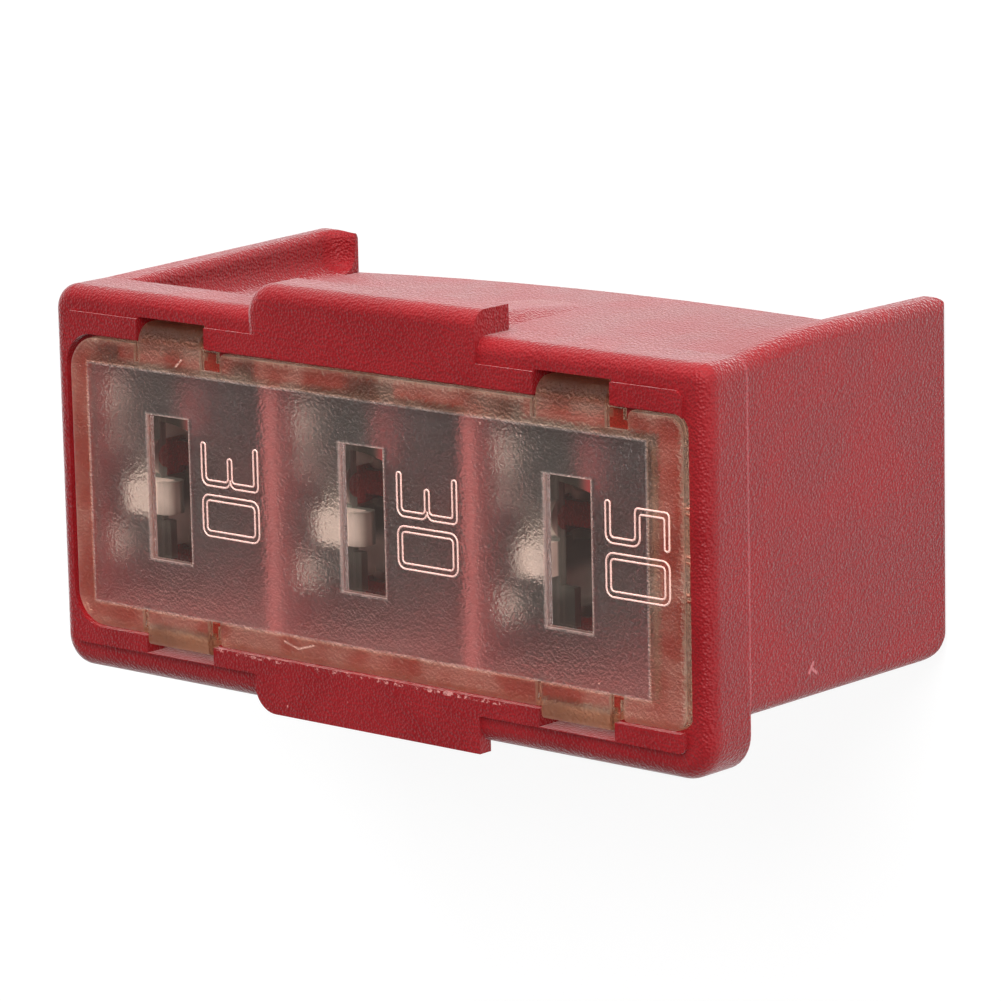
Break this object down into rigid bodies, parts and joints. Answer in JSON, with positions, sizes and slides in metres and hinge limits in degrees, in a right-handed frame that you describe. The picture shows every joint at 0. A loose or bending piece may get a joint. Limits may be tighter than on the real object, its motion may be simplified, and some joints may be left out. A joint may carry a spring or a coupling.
{
  "type": "fusible link",
  "caption": "Plug-in fusible link block: red moulded housing with rim, grips and guide wings, frosted cover with clear windows, and stamped fuse elements with tin pellets.",
  "frame": {"origin": "on the socket face, below the centre of the middle window", "axes": "+X along the row of circuits, +Y across the row towards the top grip, +Z out through the cover"},
  "size_m": [0.0412, 0.0208, 0.0182],
  "materials": {
    "housing": "fine-grained red nylon moulding, satin",
    "cover": "frosted amber polycarbonate with clear sunk windows",
    "element": "tin-plated copper alloy sheet, satin",
    "pellet": "bright cast tin"
  },
  "bodies": {
    "root": {"housing": "housing", "cover": "cover", "fuse_element_1": "element", "fuse_element_2": "element", "fuse_element_3": "element", "tin_pellet_1": "pellet", "tin_pellet_2": "pellet", "tin_pellet_3": "pellet"}
  },
  "joints": []
}
